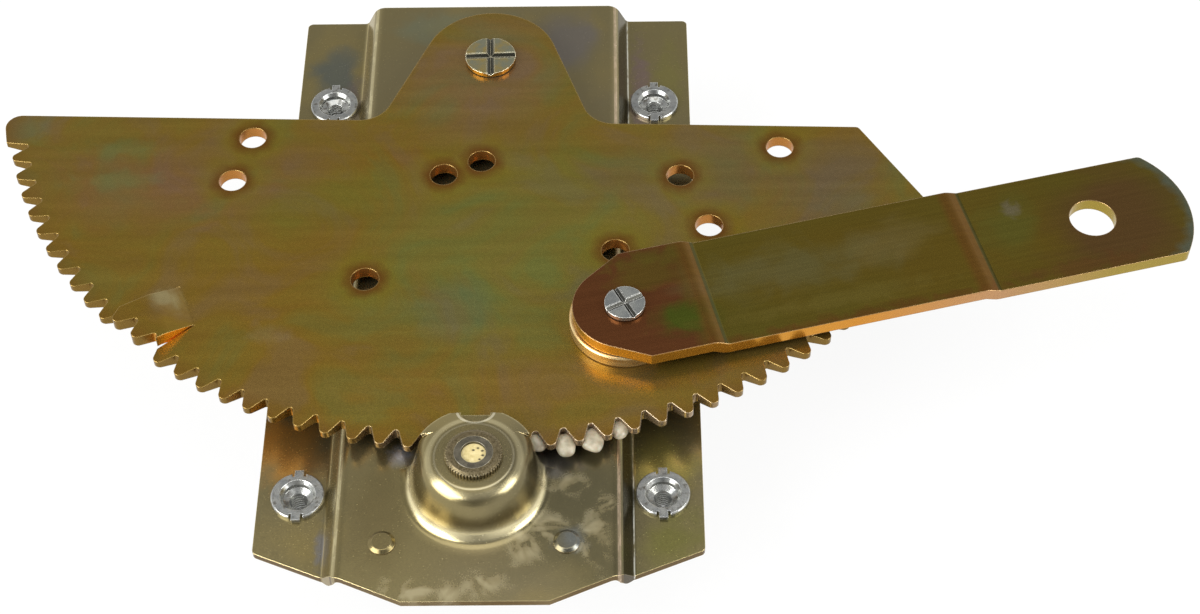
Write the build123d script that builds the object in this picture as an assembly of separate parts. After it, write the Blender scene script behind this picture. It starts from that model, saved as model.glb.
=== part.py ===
from build123d import *
import os
from math import acos, asin, atan2, cos, degrees, hypot, pi, radians, sin, tan

# Window regulator for a car door, lying as it is bolted to the door's inner panel.
# X runs across the base plate, Y up the door, +Z towards the glass. All sizes are in millimetres.
# The origin is the centre of the four nuts, on the rear face of the base plate's flanges.

# Base plate: one pressed sheet with two mounting flanges and a raised middle
sheet = 2.0
base_top = 108.6
base_rise = 7.0
middle_width = 75.0
middle_wall_run = 3.5
flange_bend = 1.6
middle_bend = 2.2
flange_corner_y = -90.0
flange_foot_y = -98.0
middle_foot_y = -101.5
foot_edge_y = -111.0
foot_edge_half = 15.1
foot_step_half = 18.5
foot_step = 1.1
plate_corner = 1.6

# Four threaded nuts clinched into the flanges
nut_from_wall = 11.65
nut_spacing_x = middle_width + 2 * nut_from_wall
nut_spacing_y = 144.8
nut_edge = 10.85
nut_flange_radius = 7.3
nut_flange_height = 1.3
nut_barrel_radius = 4.9
nut_barrel_below = 3.0
nut_thread_radius = 2.5
nut_mouth_radius = 4.1
nut_mouth_depth = 2.2
nut_lug_width = 2.4
nut_lug_reach = 0.7
nut_notch_width = 0.7
nut_notch_depth = 1.0

# Sector gear and pinion
gear_module = 2.436
sector_full_count = 118
pinion_count = 7
pressure_angle = 25.0
sector_addendum = 1.75
pinion_addendum = 2.4
root_clearance = 0.95
pinion_root_clearance = 0.5
pinion_neck = 0.75
tooth_backlash = 0.25
tooth_rounding = 0.7
tooth_roll = 1.5
sector_thickness = 3.7
sector_level = 11.8
sector_rest_turn = -1.75
first_tooth = -72.67
tooth_total = 45
sector_end_rise = 1.1
sector_end_corner = 4.5
sector_tip_corner = 1.5
sector_edge_drop = 26.0
sector_right_x = 110.75
sector_right_slant = 33.0
lobe_radius = 20.2
lobe_flank_angle = 21.0
lobe_foot_radius = 9.6
sector_hole_radius = 4.0
sector_holes = [
    (-68.75, -33.8), (-72.65, -50.8), (-30.55, -87.3), (-11.05, -47.3), (-0.25, -41.8),
    (58.05, -46.3), (87.35, -34.6), (66.55, -65.4), (39.85, -75.3),
]

# Stop tab lanced out of the sector, two teeth wide
tab_first_tooth = 10
tab_teeth = 2
tab_upper_end = 123.2
tab_lower_end = 130.0
tab_upper_lean = 1.6
tab_lower_lean = 1.3
tab_shoulder_run = 9.0
tab_shoulder_rise = 3.9
tab_end_run = 30.0
tab_end_rise = 7.2
tab_bends = (2.0, 9.0)
tab_root = 1.0
tab_cut = 0.3

# Fixed pivot of the sector, a little off the middle of the plate as the spindle is
pivot_x = -0.7
pivot_above_nuts = 6.4
running_clearance = 0.06
face_gap = 0.3
pivot_shank_radius = 5.0
pivot_head_radius = 7.65
pivot_head_height = 1.5
pivot_spacer_radius = 12.0
pivot_tenon_radius = 4.0
pivot_tail_radius = 6.6
pivot_tail_height = 1.8

# Lift arm with its stud and spacer
arm_stud_x = 43.15
arm_stud_y = -101.8
arm_reach = 137.35
arm_rest_angle = 13.96
arm_width = 37.25
arm_thickness = 3.7
arm_nose_radius = 14.5
arm_corner_run = 2.8
arm_end_radius = 28.4
arm_bore_radius = 6.6
arm_first_step = (20.65, 24.2)
arm_first_drop = 1.8
arm_second_step = (99.2, 102.6)
arm_second_drop = 1.3
arm_bend = 1.5
arm_spacer_rim = 0.9
arm_spacer_radius = arm_nose_radius + arm_spacer_rim
arm_spacer_height = 3.9
arm_stud_radius = 4.0
arm_head_radius = 5.6
arm_head_height = 1.4
arm_tail_radius = 6.0
arm_tail_height = 1.4

# Dome pressed out of the raised middle, over the pinion
dome_height = 13.4
dome_flat_radius = 11.0
dome_shoulder_radius = 15.4
dome_shoulder_drop = 1.3
dome_foot_radius = 18.2
dome_foot_skirt = 26.0
dome_bends = (1.8, 3.0, 5.0)
lip_radius = 16.4
lip_edge_y = 15.1
window_low_y = 5.4
window_high_y = 9.3
window_step_gap = 0.8
dimple_radius = 4.0
dimple_depth = 2.6
dimple_wall = 1.2

# Knurled bush in the dome, and the pinion
bush_knurl_radius = 7.65
bush_knurl_depth = 0.55
bush_knurl_count = 54
bush_proud = 1.8
bush_shank_radius = 7.0
bush_chamfer = 0.5
journal_radius = 5.15
pinion_collar_radius = 7.0
pinion_face_over = 0.9
pinion_face_under = 1.8
pinion_hub_radius = 6.9
core_radius = 3.3
core_clearance = 0.05
core_recess = 0.8

# Brake drum, its spring and the crank spindle
rivet_circle = 30.3
rivet_low_angle = 36.9
rivet_radius = 2.4
rivet_head_radius = 3.6
rivet_head_height = 0.9
rivet_tail_height = 1.2
drum_sheet = 1.8
drum_radius = 19.0
drum_depth = 17.2
drum_rim_radius = 23.0
drum_ear_radius = 5.6
drum_bend = 1.2
spring_wire = 2.0
spring_gap = 0.3
spring_pitch = 2.3
spring_turns = 3.5
spring_tang = 6.4
driver_radius = 12.6
driver_thickness = 2.2
driver_seat_radius = 4.8
driver_drop = 0.4
lug_inner = 8.6
lug_half_angle = 38.0
spindle_radius = 6.0
shank_radius = 5.6
shank_length = 11.0
spindle_driver_thickness = 1.8
rear_bush_radius = 8.6
rear_bush_proud = 2.4
spline_count = 30
spline_depth = 0.4
spline_length = 12.0
spindle_neck_radius = 4.8
spindle_neck = 2.0

# Levels and places that follow from the sizes above
base_width = nut_spacing_x + 2 * nut_edge
middle_top = base_rise + sheet
middle_under = base_rise
pivot_y = nut_spacing_y / 2 + pivot_above_nuts
pitch_radius = gear_module * sector_full_count / 2
sector_tip_radius = pitch_radius + sector_addendum
sector_root_radius = pitch_radius - pinion_addendum - root_clearance
sector_end_radius = sector_tip_radius + sector_end_rise
pinion_pitch_radius = gear_module * pinion_count / 2
centre_distance = pitch_radius + pinion_pitch_radius
spindle_y = pivot_y - centre_distance
pitch_angle = 360.0 / sector_full_count
sector_top = sector_level + sector_thickness
arm_level = sector_top + arm_spacer_height + face_gap
arm_top = arm_level + arm_thickness
dome_top = middle_top + dome_height
drum_floor = middle_under - drum_depth

pivot_place = Pos(pivot_x, pivot_y, 0)
spindle_place = Pos(pivot_x, spindle_y, 0)


def turned(points):
    """A solid of revolution about Z from its half section, given as radius and height."""
    section = make_face(Plane.XZ * Polyline(*points, close=True))
    return revolve(section, Axis.Z)


def disc(radius, low, high):
    """A round solid about Z between two heights."""
    return turned([(0, low), (radius, low), (radius, high), (0, high)])


def ring(inner, outer, low, high):
    """A round solid with a through hole."""
    return turned([(inner, low), (outer, low), (outer, high), (inner, high)])


def at_radius(radius, angle):
    """A point at an angle counted from straight down, positive towards +X."""
    return (radius * sin(radians(angle)), -radius * cos(radians(angle)))


def tooth_half_angle(radius, pitch, half_thickness):
    """Half of a tooth's width, in degrees, where an involute tooth crosses a radius."""
    base = pitch * cos(radians(pressure_angle))
    pitch_roll = tan(radians(pressure_angle)) - radians(pressure_angle)
    here = acos(min(1.0, base / radius))
    return degrees(half_thickness / pitch + pitch_roll - (tan(here) - here))


def bent_sheet(points, thickness, inner_radii):
    """The section of a bent sheet in the XZ plane, from the corners of its middle line."""
    sides = {1: [], -1: []}
    bends = {1: [], -1: []}
    steps = [Vector(b) - Vector(a) for a, b in zip(points, points[1:])]
    for place, point in enumerate(points):
        before = steps[max(place - 1, 0)].normalized()
        after = steps[min(place, len(steps) - 1)].normalized()
        turn = before.X * after.Y - before.Y * after.X
        mean = Vector(-before.Y - after.Y, before.X + after.X).normalized()
        reach = thickness / 2 / (mean.X * -before.Y + mean.Y * before.X)
        for side in sides:
            sides[side].append(Vector(point) + mean * reach * side)
            if 0 < place < len(points) - 1:
                inner = inner_radii[place - 1]
                bends[side].append(inner if turn * side > 0 else inner + thickness)
    upper, lower = [FilletPolyline(*sides[s], radius=bends[s]) for s in (1, -1)]
    edges = list(upper.edges()) + list(lower.edges())
    edges += [Line(sides[1][0], sides[-1][0]), Line(sides[1][-1], sides[-1][-1])]
    return Plane.XZ * make_face(edges)


# Base plate

def base_outline():
    """The plate seen from the front, with its slanted foot."""
    half = base_width / 2
    wall_foot = middle_width / 2 + middle_wall_run
    right = [
        (half, base_top), (half, flange_corner_y), (wall_foot, flange_foot_y),
        (middle_width / 2, middle_foot_y), (foot_step_half, foot_edge_y + foot_step),
        (foot_edge_half, foot_edge_y),
    ]
    left = [(-x, y) for x, y in reversed(right)]
    face = make_face(Polyline(*right, *left, close=True))
    outer = face.vertices().sort_by(Axis.X)
    corners = list(outer[:2]) + list(outer[-2:])
    return fillet(corners, plate_corner)


def base_channel():
    """The bent section, as long as the plate."""
    half = base_width / 2
    wall_length = hypot(middle_wall_run, base_rise)
    shift = sheet / 2 * (wall_length - middle_wall_run) / base_rise
    inner = middle_width / 2 - shift
    foot = middle_width / 2 + middle_wall_run - shift
    path = [
        (-half, sheet / 2), (-foot, sheet / 2), (-inner, base_rise + sheet / 2),
        (inner, base_rise + sheet / 2), (foot, sheet / 2), (half, sheet / 2),
    ]
    section = bent_sheet(path, sheet, [flange_bend, middle_bend, middle_bend, flange_bend])
    return extrude(section, amount=base_top + 1, both=True)


def dome_shell():
    """The bell-shaped shell, open below."""
    crown = dome_top - sheet / 2
    foot = middle_top - sheet / 2
    path = [
        (bush_shank_radius, crown), (dome_flat_radius, crown),
        (dome_shoulder_radius, crown - dome_shoulder_drop), (dome_foot_radius, foot),
        (dome_foot_skirt, foot),
    ]
    return revolve(bent_sheet(path, sheet, dome_bends), Axis.Z)


def dome_window():
    """What is cut away so that the sector can run in under the dome's crown."""
    far = dome_foot_skirt + 4
    step = sector_top + window_step_gap
    low = Pos(0, window_low_y + far / 2, (middle_top + step) / 2) * Box(
        2 * far, far, step - middle_top)
    high = Pos(0, window_high_y + far / 2, (step + dome_top) / 2) * Box(
        2 * far, far, dome_top - step + 2)
    return low + high


def dome_lip():
    """The crown carried out over the window, with its front edge cut straight."""
    crown = dome_top - sheet / 2
    slope = dome_shoulder_drop / (dome_shoulder_radius - dome_flat_radius)
    path = [
        (bush_shank_radius, crown), (dome_flat_radius, crown),
        (lip_radius, crown - slope * (lip_radius - dome_flat_radius)),
    ]
    root_y = window_high_y - 1
    keep = Pos(0, (root_y + lip_edge_y) / 2, dome_top) * Box(
        2 * lip_radius, lip_edge_y - root_y, 4 * sheet)
    return revolve(bent_sheet(path, sheet, dome_bends[:1]), Axis.Z) & keep


def dome_dimple():
    """The half-round pocket pressed into the lip's front edge, as its cup and its hollow."""
    cup = disc(dimple_radius + dimple_wall, dome_top - dimple_depth - dimple_wall, dome_top - sheet / 2)
    hollow = disc(dimple_radius, dome_top - dimple_depth, dome_top + 1)
    cup = Pos(0, lip_edge_y, 0) * cup
    hollow = Pos(0, lip_edge_y, 0) * hollow
    far = 2 * lip_radius
    keep = Pos(0, lip_edge_y - far / 2, dome_top) * Box(far, far, 8 * sheet)
    return cup & keep, hollow


def rivet_places():
    """The three drum rivets, one of them straight above the spindle."""
    return {"top": 90.0, "left": 180.0 + rivet_low_angle, "right": 360.0 - rivet_low_angle}


def base_plate():
    plate = base_channel() & extrude(base_outline(), amount=middle_top + 1)
    mouth = disc(dome_foot_radius, middle_under - 1, middle_top + 1)
    drawn = disc(dome_foot_skirt - 1, middle_under - 1, middle_top + 1)
    drawn &= Pos(0, window_low_y - dome_foot_skirt, 0) * Box(
        2 * dome_foot_skirt, 2 * dome_foot_skirt, 3 * middle_top)
    plate -= spindle_place * (mouth + drawn)
    cup, hollow = dome_dimple()
    dome = dome_shell() - dome_window() + dome_lip()
    dome = dome + cup - hollow
    plate += spindle_place * dome
    for x in (-nut_spacing_x / 2, nut_spacing_x / 2):
        for y in (-nut_spacing_y / 2, nut_spacing_y / 2):
            plate -= Pos(x, y, 0) * disc(nut_barrel_radius, -1, sheet + 1)
    plate -= pivot_place * disc(pivot_tenon_radius, middle_under - 1, middle_top + 1)
    for angle in rivet_places().values():
        spot = spindle_place * Rot(0, 0, angle) * Pos(rivet_circle, 0, 0)
        plate -= spot * disc(rivet_radius, middle_under - 1, middle_top + 1)
    return plate


def mount_nut():
    """A clinch nut whose flange lies on the plate and whose barrel passes through it."""
    top = sheet + nut_flange_height
    mouth_floor = top - nut_mouth_depth
    body = turned([
        (nut_thread_radius, -nut_barrel_below), (nut_barrel_radius, -nut_barrel_below),
        (nut_barrel_radius, sheet), (nut_flange_radius, sheet), (nut_flange_radius, top - 0.3),
        (nut_flange_radius - 0.3, top), (nut_barrel_radius, top), (nut_mouth_radius, top - 0.9),
        (nut_mouth_radius, mouth_floor), (nut_thread_radius, mouth_floor - 0.8),
    ])
    for side in (-1, 1):
        reach = nut_flange_radius + nut_lug_reach
        notch_y = side * (nut_flange_radius - nut_notch_depth / 2)
        for edge in (-1, 1):
            notch_x = edge * (nut_lug_width + nut_notch_width) / 2
            body -= Pos(notch_x, notch_y, sheet + nut_flange_height / 2) * Box(
                nut_notch_width, nut_notch_depth + 0.6, nut_flange_height)
        lug_length = nut_lug_reach + nut_notch_depth
        lug_y = side * (reach - lug_length / 2)
        body += Pos(0, lug_y, sheet + nut_flange_height / 2) * Box(
            nut_lug_width, lug_length, nut_flange_height)
    return body


# Fixed pivot

def sector_pivot_stud():
    head_low = sector_top + face_gap
    head_top = head_low + pivot_head_height
    tail_low = middle_under - pivot_tail_height
    stud = turned([
        (0, tail_low), (pivot_tail_radius - 1, tail_low), (pivot_tail_radius, tail_low + 1),
        (pivot_tail_radius, middle_under), (pivot_tenon_radius, middle_under),
        (pivot_tenon_radius, middle_top), (pivot_shank_radius, middle_top),
        (pivot_shank_radius, head_low), (pivot_head_radius, head_low),
        (pivot_head_radius, head_top), (0, head_top),
    ])
    return pivot_place * stud


def sector_pivot_spacer():
    return pivot_place * ring(
        pivot_shank_radius, pivot_spacer_radius, middle_top, sector_level - face_gap)


# Sector gear

def sector_tooth_edges():
    """The toothed edge from left to right, as lines and arcs."""
    half = (pi * gear_module / 2 - tooth_backlash) / 2
    crown = sector_tip_radius - tooth_rounding
    fillet_low = sector_root_radius + tooth_rounding
    low_half = tooth_half_angle(fillet_low, pitch_radius, half)
    high_half = tooth_half_angle(crown, pitch_radius, half)
    edges = []
    last_foot = at_radius(fillet_low, first_tooth - pitch_angle + low_half)
    start = last_foot
    for number in range(tooth_total + 1):
        centre = first_tooth + number * pitch_angle
        foot = at_radius(fillet_low, centre - low_half)
        valley = at_radius(sector_root_radius, centre - pitch_angle / 2)
        edges.append(ThreePointArc(last_foot, valley, foot))
        if number == tooth_total:
            last_foot = foot
            break
        rise = at_radius(crown, centre - high_half)
        fall = at_radius(crown, centre + high_half)
        last_foot = at_radius(fillet_low, centre + low_half)
        edges.append(Line(foot, rise))
        edges.append(ThreePointArc(rise, at_radius(sector_tip_radius, centre), fall))
        edges.append(Line(fall, last_foot))
    return edges, start, last_foot


def sector_outline():
    """The stamped outline, with the pivot at the origin and the top edge level."""
    edges, start, finish = sector_tooth_edges()
    half = (pi * gear_module / 2 - tooth_backlash) / 2
    block_half = tooth_half_angle(sector_tip_radius, pitch_radius, half)
    left_block = first_tooth - pitch_angle + block_half
    right_block = first_tooth + tooth_total * pitch_angle - block_half
    corner_angle = -degrees(acos(sector_edge_drop / sector_end_radius))
    left_edge = at_radius(sector_end_radius, left_block)
    left_corner = at_radius(sector_end_radius, corner_angle)
    left_middle = at_radius(sector_end_radius, (left_block + corner_angle) / 2)
    slant = tan(radians(sector_right_slant))
    # where the slanted right edge meets the end circle
    square = 1 + slant ** 2
    along = sector_right_x - sector_edge_drop * slant
    depth = (-along * slant + (square * sector_end_radius ** 2 - along ** 2) ** 0.5) / square
    right_foot = (along + slant * depth, -depth)
    right_edge = at_radius(sector_end_radius, right_block)
    right_angle = degrees(atan2(right_foot[0], depth))
    right_middle = at_radius(sector_end_radius, (right_block + right_angle) / 2)
    lean = radians(lobe_flank_angle)
    lobe_x = lobe_radius * cos(lean)
    lobe_y = lobe_radius * sin(lean)
    foot_x = lobe_x + (lobe_y + sector_edge_drop) * tan(lean)
    shape = make_face(edges + [
        Line(finish, right_edge),
        ThreePointArc(right_edge, right_middle, right_foot),
        Line(right_foot, (sector_right_x, -sector_edge_drop)),
        Line((sector_right_x, -sector_edge_drop), (foot_x, -sector_edge_drop)),
        Line((foot_x, -sector_edge_drop), (lobe_x, lobe_y)),
        ThreePointArc((lobe_x, lobe_y), (0, lobe_radius), (-lobe_x, lobe_y)),
        Line((-lobe_x, lobe_y), (-foot_x, -sector_edge_drop)),
        Line((-foot_x, -sector_edge_drop), left_corner),
        ThreePointArc(left_corner, left_middle, left_edge),
        Line(left_edge, start),
    ])
    rounded = {
        (foot_x, -sector_edge_drop): lobe_foot_radius,
        (-foot_x, -sector_edge_drop): lobe_foot_radius,
        left_corner: sector_end_corner,
        (sector_right_x, -sector_edge_drop): sector_tip_corner,
    }
    for (x, y), radius in rounded.items():
        nearest = shape.vertices().sort_by_distance((x, y, 0))[0]
        shape = fillet(nearest, radius)
    return shape


def tab_regions():
    """The lanced tab seen from the front, the wider slit it is cut free by, and its bend line."""
    first_cut = first_tooth + (tab_first_tooth - 0.5) * pitch_angle
    second_cut = first_cut + tab_teeth * pitch_angle
    upper = Vector(at_radius(tab_upper_end, first_cut + tab_upper_lean))
    lower = Vector(at_radius(tab_lower_end, second_cut + tab_lower_lean))
    far = sector_end_radius + 1
    far_upper = Vector(at_radius(far, first_cut))
    far_lower = Vector(at_radius(far, second_cut))
    along = (lower - upper).normalized()
    outward = Vector(along.Y, -along.X) if along.X > 0 else Vector(-along.Y, along.X)
    root = outward * -tab_root
    tab = make_face(Polyline(upper + root, upper, far_upper, far_lower, lower, lower + root, close=True))
    slit = offset(make_face(Polyline(upper, far_upper, far_lower, lower, close=True)), amount=tab_cut)
    bend = Plane(origin=(upper + lower) / 2, x_dir=outward, z_dir=(0, 0, 1))
    return tab, slit, bend


def stop_tab():
    """The tab's two teeth, carried up by a bend and a long shoulder."""
    tab, slit, bend = tab_regions()
    middle = sector_thickness / 2
    path = [
        (-2 * tab_root, middle), (0, middle), (tab_shoulder_run, middle + tab_shoulder_rise),
        (tab_end_run, middle + tab_end_rise),
    ]
    band = extrude(bent_sheet(path, sector_thickness, tab_bends), amount=tab_end_run, both=True)
    footprint = sector_outline() & tab
    return extrude(footprint, amount=3 * sector_thickness) & bend.location * band


def sector_gear():
    plate = extrude(sector_outline(), amount=sector_thickness)
    far = sector_end_radius + 1
    roll_slope = tooth_roll / (sector_tip_radius - sector_root_radius)
    plate -= turned([
        (sector_root_radius, -1), (far, -1), (far, roll_slope * (far - sector_root_radius)),
        (sector_root_radius, 0),
    ])
    plate -= extrude(tab_regions()[1], amount=sector_thickness)
    plate += stop_tab()
    for x, y in sector_holes:
        plate -= Pos(x, y, 0) * disc(sector_hole_radius, -1, sector_thickness + 1)
    plate -= disc(pivot_shank_radius + running_clearance, -1, sector_thickness + 1)
    plate -= Pos(arm_stud_x, arm_stud_y, 0) * disc(arm_stud_radius, -1, sector_thickness + 1)
    return pivot_place * Pos(0, 0, sector_level) * Rot(0, 0, sector_rest_turn) * plate


# Lift arm

def stud_place():
    return pivot_place * Rot(0, 0, sector_rest_turn) * Pos(arm_stud_x, arm_stud_y, 0)


def arm_spacer():
    rim = 0.4
    body = turned([
        (arm_stud_radius, sector_top), (arm_spacer_radius - rim, sector_top),
        (arm_spacer_radius, sector_top + rim),
        (arm_spacer_radius, sector_top + arm_spacer_height - rim),
        (arm_spacer_radius - rim, sector_top + arm_spacer_height),
        (arm_stud_radius, sector_top + arm_spacer_height),
    ])
    return stud_place() * body


def arm_stud():
    head_low = arm_top + face_gap
    head_top = head_low + arm_head_height
    tail_low = sector_level - arm_tail_height
    stud = turned([
        (0, tail_low), (arm_tail_radius - 0.8, tail_low), (arm_tail_radius, tail_low + 0.8),
        (arm_tail_radius, sector_level), (arm_stud_radius, sector_level),
        (arm_stud_radius, head_low), (arm_head_radius, head_low),
        (arm_head_radius, head_top), (0, head_top),
    ])
    return stud_place() * stud


def arm_outline():
    """The arm seen from the front: narrow nose, straight sides and a wide round end."""
    half = arm_width / 2
    corner = hypot(arm_corner_run, half)
    nose = degrees(atan2(half, arm_corner_run)) + degrees(acos(arm_nose_radius / corner))
    nose_x = arm_nose_radius * cos(radians(nose))
    nose_y = arm_nose_radius * sin(radians(nose))
    end_x = arm_reach + (arm_end_radius ** 2 - half ** 2) ** 0.5
    face = make_face([
        Line((arm_corner_run, half), (end_x, half)),
        ThreePointArc((end_x, half), (arm_reach + arm_end_radius, 0), (end_x, -half)),
        Line((end_x, -half), (arm_corner_run, -half)),
        Line((arm_corner_run, -half), (nose_x, -nose_y)),
        ThreePointArc((nose_x, -nose_y), (-arm_nose_radius, 0), (nose_x, nose_y)),
        Line((nose_x, nose_y), (arm_corner_run, half)),
    ])
    tips = face.vertices().sort_by(Axis.X)[-2:]
    return fillet(tips, 2.0)


def lift_arm():
    """A flat bar set down twice by short joggles."""
    far = arm_reach + arm_end_radius + 5
    middle = arm_level + arm_thickness / 2
    low = middle - arm_first_drop
    lowest = low - arm_second_drop
    path = [
        (-arm_nose_radius - 5, middle), (arm_first_step[0], middle), (arm_first_step[1], low),
        (arm_second_step[0], low), (arm_second_step[1], lowest), (far, lowest),
    ]
    section = bent_sheet(path, arm_thickness, [arm_bend] * 4)
    strip = extrude(section, amount=arm_width, both=True)
    arm = strip & extrude(arm_outline(), amount=arm_top + 1)
    arm -= disc(arm_stud_radius + running_clearance, 0, arm_top + 1)
    arm -= Pos(arm_reach, 0, 0) * disc(arm_bore_radius, 0, arm_top + 1)
    return stud_place() * Rot(0, 0, arm_rest_angle - sector_rest_turn) * arm


# Dome bush and pinion

def dome_bush():
    """The bearing bush pressed into the dome, with a knurled rim standing out of it."""
    top = dome_top + bush_proud
    low = dome_top - sheet
    body = turned([
        (journal_radius + running_clearance, low), (bush_shank_radius, low),
        (bush_shank_radius, dome_top), (bush_knurl_radius, dome_top),
        (bush_knurl_radius, top - bush_chamfer), (bush_knurl_radius - 2 * bush_chamfer, top),
        (journal_radius + running_clearance, top),
    ])
    half = pi * bush_knurl_radius / bush_knurl_count * 0.8
    groove = Plane.XY.offset(dome_top) * make_face(Polyline(
        (bush_knurl_radius - bush_knurl_depth, 0), (bush_knurl_radius + 0.2, -half),
        (bush_knurl_radius + 0.2, half), close=True))
    cutter = extrude(groove, amount=bush_proud + 1)
    grooves = [Rot(0, 0, 360 / bush_knurl_count * k) * cutter for k in range(bush_knurl_count)]
    return spindle_place * (body - grooves)


def pinion_outline():
    """Seven involute teeth, with one of them in the sector's gap at rest."""
    half = (pi * gear_module / 2 - tooth_backlash) / 2
    base = pinion_pitch_radius * cos(radians(pressure_angle))
    tip = pinion_pitch_radius + pinion_addendum
    root = pinion_pitch_radius - sector_addendum - pinion_root_clearance
    step = 360.0 / pinion_count
    radii = [base, (base + tip) / 2, tip]
    halves = [tooth_half_angle(r, pinion_pitch_radius, half) for r in radii]
    edges = []
    for number in range(pinion_count):
        centre = 180.0 + number * step
        rising = [at_radius(r, centre - a) for r, a in zip(radii, halves)]
        falling = [at_radius(r, centre + a) for r, a in zip(radii, halves)][::-1]
        foot = at_radius(root, centre - halves[0] * pinion_neck)
        last = at_radius(root, centre + halves[0] * pinion_neck)
        following = at_radius(root, centre + step - halves[0] * pinion_neck)
        edges.append(Line(foot, rising[0]))
        edges.append(ThreePointArc(*rising))
        edges.append(ThreePointArc(rising[-1], at_radius(tip, centre), falling[0]))
        edges.append(ThreePointArc(*falling))
        edges.append(Line(falling[-1], last))
        edges.append(ThreePointArc(last, at_radius(root, centre + step / 2), following))
    return make_face(edges)


def pinion_rest_turn():
    """How far the pinion stands turned so that its tooth lies in the nearest gap."""
    gap = first_tooth + sector_rest_turn + pitch_angle / 2
    gap -= pitch_angle * round(gap / pitch_angle)
    return -gap * sector_full_count / pinion_count


def arc_lug(low, high, middle_angle, half_angle):
    """A driving lug: part of a ring between two heights."""
    whole = ring(lug_inner, driver_radius, low, high)
    reach = 2 * driver_radius
    wedge = make_face(Polyline(
        (0, 0),
        (reach * cos(radians(half_angle)), -reach * sin(radians(half_angle))),
        (reach * cos(radians(half_angle)), reach * sin(radians(half_angle))),
        close=True))
    wedge = Pos(0, 0, low) * extrude(wedge, amount=high - low)
    return whole & Rot(0, 0, middle_angle) * wedge


def drum_levels():
    """Heights inside the drum of the spindle's driver and of the pinion's driver."""
    rear_low = drum_floor + drum_sheet + face_gap
    rear_top = rear_low + spindle_driver_thickness
    front_top = middle_under - driver_drop
    front_low = front_top - driver_thickness
    return rear_low, rear_top, front_low, front_top


def pinion_gear():
    face_top = sector_top + pinion_face_over
    face_low = sector_level - pinion_face_under
    crown_under = dome_top - sheet - face_gap
    journal_top = dome_top + bush_proud
    front_low, front_top = drum_levels()[2:]
    teeth = Pos(0, 0, face_low) * extrude(pinion_outline(), amount=face_top - face_low)
    gear = Rot(0, 0, pinion_rest_turn()) * teeth
    gear += disc(pinion_collar_radius, face_top, crown_under)
    gear += disc(journal_radius, crown_under, journal_top)
    gear += disc(pinion_hub_radius, front_top, face_low)
    gear += disc(driver_seat_radius, front_low, front_top)
    gear -= disc(core_radius + core_clearance, front_low - 1, journal_top + 1)
    return spindle_place * gear


def pinion_driver():
    """The disc on the pinion's hub, whose lug the spring's ends push round."""
    rear_low, rear_top, front_low, front_top = drum_levels()
    driver = ring(driver_seat_radius, driver_radius, front_low, front_top)
    driver += arc_lug(rear_top + face_gap, front_low, 90.0, lug_half_angle)
    return spindle_place * driver


# Brake drum, spring and crank spindle

def brake_drum():
    """The pressed cup that the brake spring grips, with three riveted ears."""
    rim_top = middle_under
    inner = drum_radius - drum_sheet
    path = [
        (rear_bush_radius, drum_floor + drum_sheet / 2),
        (drum_radius - drum_sheet / 2, drum_floor + drum_sheet / 2),
        (drum_radius - drum_sheet / 2, rim_top - drum_sheet / 2),
        (drum_rim_radius, rim_top - drum_sheet / 2),
    ]
    cup = revolve(bent_sheet(path, drum_sheet, [drum_bend] * 2), Axis.Z)
    ears = []
    for angle in rivet_places().values():
        ears.append(Rot(0, 0, angle) * Pos(rivet_circle, 0) * Circle(drum_ear_radius))
        ears.append(Rot(0, 0, angle) * Pos(rivet_circle / 2 + 7, 0) * Rectangle(
            rivet_circle - 14, 2 * drum_ear_radius))
    flange = Sketch() + ears
    flange = Pos(0, 0, rim_top - drum_sheet) * extrude(flange, amount=drum_sheet)
    flange -= disc(inner + drum_bend + drum_sheet, 0, rim_top + 1)
    drum = cup + flange
    for angle in rivet_places().values():
        spot = Rot(0, 0, angle) * Pos(rivet_circle, 0, 0)
        drum -= spot * disc(rivet_radius, rim_top - drum_sheet - 1, rim_top + 1)
    return spindle_place * drum


def drum_rivet(angle):
    top = middle_top + rivet_head_height
    low = middle_under - drum_sheet
    body = turned([
        (0, low - rivet_tail_height), (rivet_head_radius - 0.6, low - rivet_tail_height),
        (rivet_head_radius, low - rivet_tail_height + 0.6), (rivet_head_radius, low),
        (rivet_radius, low), (rivet_radius, middle_top), (rivet_head_radius, middle_top),
        (rivet_head_radius, middle_top + 0.3), (rivet_head_radius - 1.0, top), (0, top),
    ])
    return spindle_place * Rot(0, 0, angle) * Pos(rivet_circle, 0, 0) * body


def brake_spring():
    """The square-wire wrap spring, with both ends turned inwards."""
    rear_low, rear_top, front_low, front_top = drum_levels()
    middle = drum_radius - drum_sheet - spring_gap - spring_wire / 2
    height = spring_turns * spring_pitch
    low = (rear_top + front_low) / 2 - height / 2
    coil = Helix(pitch=spring_pitch, height=height, radius=middle)
    coil = Pos(0, 0, low) * coil
    section = Plane(origin=coil @ 0, z_dir=coil % 0) * Rectangle(spring_wire, spring_wire)
    body = sweep(section, path=coil, is_frenet=True)
    for turn, level in ((0.0, low), (360.0 * spring_turns, low + height)):
        tang = Pos(middle - spring_tang / 2, 0, level) * Box(
            spring_tang, spring_wire, spring_wire)
        body += Rot(0, 0, turn) * tang
    return spindle_place * body


def rear_bush():
    """The bearing bush of the crank spindle in the drum's floor."""
    low = drum_floor - rear_bush_proud
    return spindle_place * ring(
        spindle_radius + running_clearance, rear_bush_radius, low, drum_floor + drum_sheet)


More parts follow.
